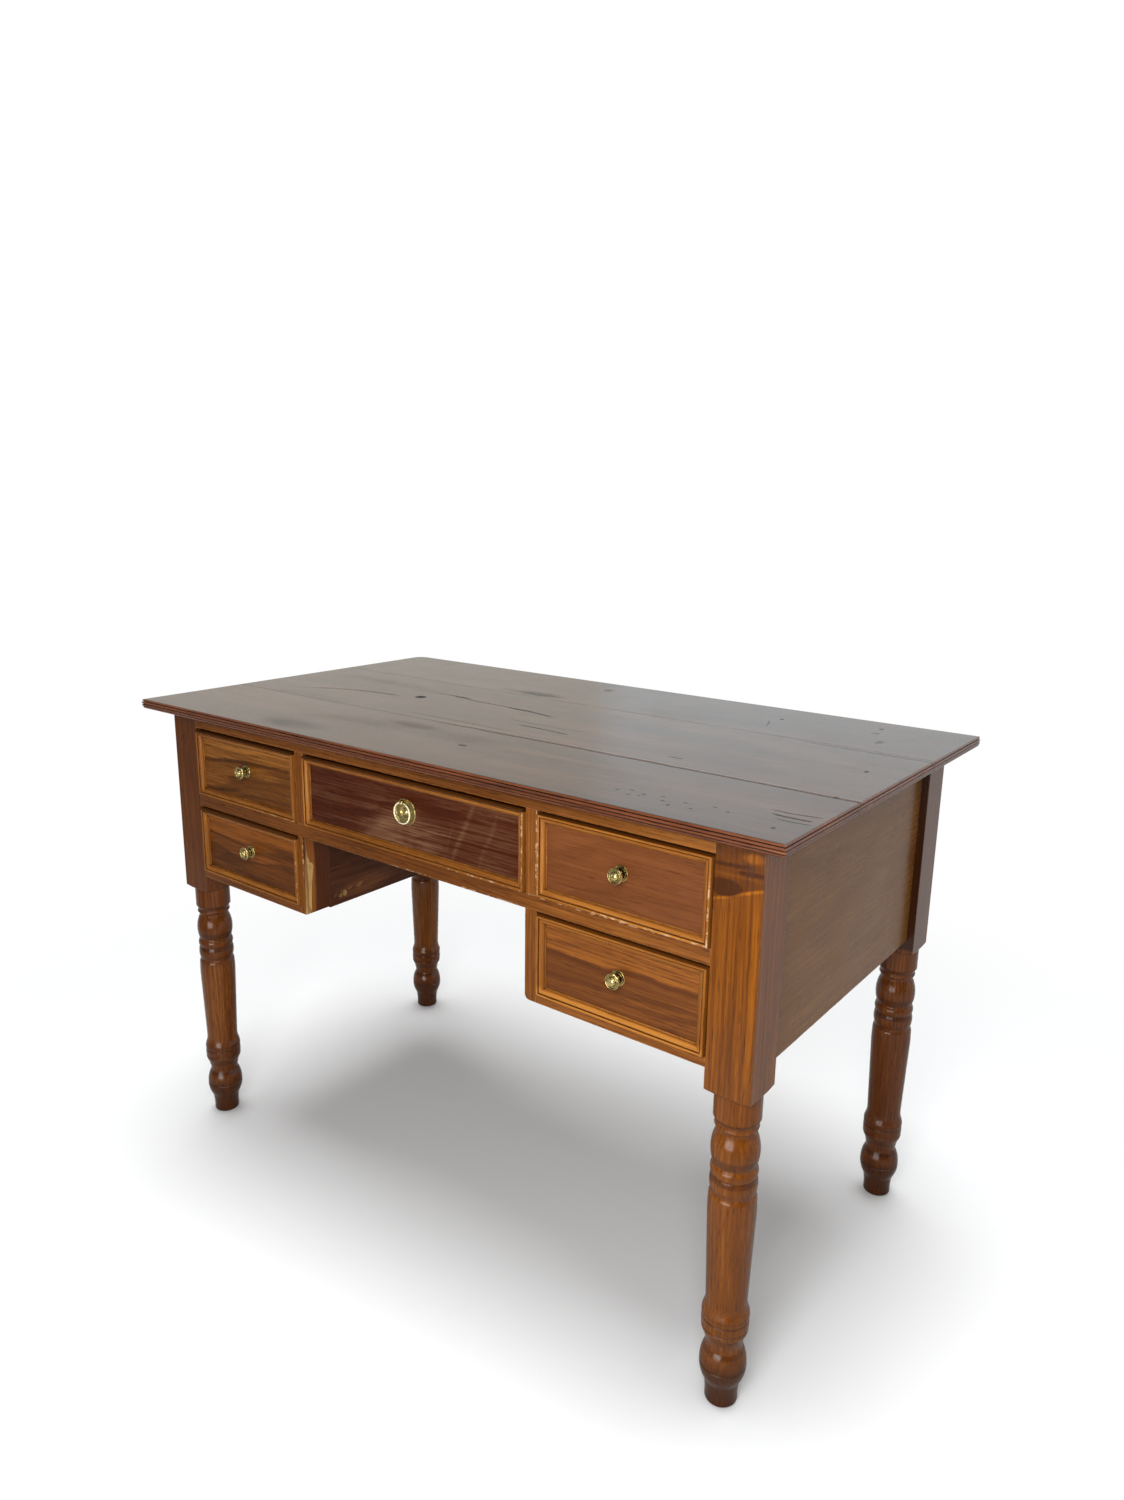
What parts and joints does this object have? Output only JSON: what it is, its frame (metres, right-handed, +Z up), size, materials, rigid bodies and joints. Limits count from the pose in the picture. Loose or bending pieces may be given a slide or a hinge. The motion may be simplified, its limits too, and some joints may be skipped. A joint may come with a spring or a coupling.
{
  "type": "writing desk",
  "caption": "Wooden writing desk on turned legs: jointed plank top with a reeded edge, drawers either side of a kneehole and one across it, brass knobs and a ring pull.",
  "frame": {"origin": "on the floor under the middle of the top", "axes": "+X to the right of someone facing the drawers, the drawers open towards -Y, +Z up"},
  "size_m": [1.2, 0.666, 0.784],
  "materials": {
    "wood_top": "old wax polish, worn glossy",
    "wood_frame": "waxed, worn arrises",
    "wood_leg": "turned and waxed",
    "wood_panel": "waxed, satin",
    "wood_drawer_front": "figured, waxed",
    "wood_beading": "waxed, worn edges",
    "wood_inner": "bare, aged softwood",
    "brass": "polished",
    "steel": "plain wood screws"
  },
  "bodies": {
    "carcass": {"top_board_front": "wood_top", "top_board_middle": "wood_top", "top_board_back": "wood_top", "leg_front_left": "wood_leg", "leg_front_right": "wood_leg", "leg_back_left": "wood_leg", "leg_back_right": "wood_leg", "side_panel_left": "wood_panel", "side_panel_right": "wood_panel", "kneehole_panel_left": "wood_panel", "kneehole_panel_right": "wood_panel", "back_apron": "wood_panel", "back_board_left": "wood_panel", "back_board_right": "wood_panel", "top_rail": "wood_frame", "middle_rail": "wood_frame", "bottom_rail_left": "wood_frame", "bottom_rail_right": "wood_frame", "upright_left": "wood_frame", "upright_right": "wood_frame", "stile_left": "wood_frame", "stile_right": "wood_frame", "drawer_runners": "wood_inner", "drawer_guides": "wood_inner", "drawer_kickers": "wood_inner", "drawer_stops": "wood_inner", "glue_blocks": "wood_inner", "top_screws": "steel"},
    "left_upper_drawer": {"left_upper_front": "wood_drawer_front", "left_upper_sides": "wood_inner", "left_upper_back": "wood_inner", "left_upper_bottom": "wood_inner", "left_upper_beading": "wood_beading", "left_upper_knob": "brass"},
    "left_lower_drawer": {"left_lower_front": "wood_drawer_front", "left_lower_sides": "wood_inner", "left_lower_back": "wood_inner", "left_lower_bottom": "wood_inner", "left_lower_beading": "wood_beading", "left_lower_knob": "brass"},
    "centre_drawer": {"centre_front": "wood_drawer_front", "centre_sides": "wood_inner", "centre_back": "wood_inner", "centre_bottom": "wood_inner", "centre_beading": "wood_beading", "centre_pull_plate": "brass", "centre_pull_post": "brass"},
    "right_upper_drawer": {"right_upper_front": "wood_drawer_front", "right_upper_sides": "wood_inner", "right_upper_back": "wood_inner", "right_upper_bottom": "wood_inner", "right_upper_beading": "wood_beading", "right_upper_knob": "brass"},
    "right_lower_drawer": {"right_lower_front": "wood_drawer_front", "right_lower_sides": "wood_inner", "right_lower_back": "wood_inner", "right_lower_bottom": "wood_inner", "right_lower_beading": "wood_beading", "right_lower_knob": "brass"},
    "pull_ring": {"centre_pull_ring": "brass"}
  },
  "joints": [
    {"name": "left_upper_slide", "type": "slide", "parent": "carcass", "child": "left_upper_drawer", "axis": [0, -1, 0], "range_m": [0, 0.36]},
    {"name": "left_lower_slide", "type": "slide", "parent": "carcass", "child": "left_lower_drawer", "axis": [0, -1, 0], "range_m": [0, 0.36]},
    {"name": "centre_slide", "type": "slide", "parent": "carcass", "child": "centre_drawer", "axis": [0, -1, 0], "range_m": [0, 0.36]},
    {"name": "right_upper_slide", "type": "slide", "parent": "carcass", "child": "right_upper_drawer", "axis": [0, -1, 0], "range_m": [0, 0.36]},
    {"name": "right_lower_slide", "type": "slide", "parent": "carcass", "child": "right_lower_drawer", "axis": [0, -1, 0], "range_m": [0, 0.36]},
    {"name": "ring_swing", "type": "hinge", "parent": "centre_drawer", "child": "pull_ring", "pos_m": [0, -0.3025, 0.7078], "axis": [-1, 0, 0], "range_deg": [0, 165]}
  ]
}
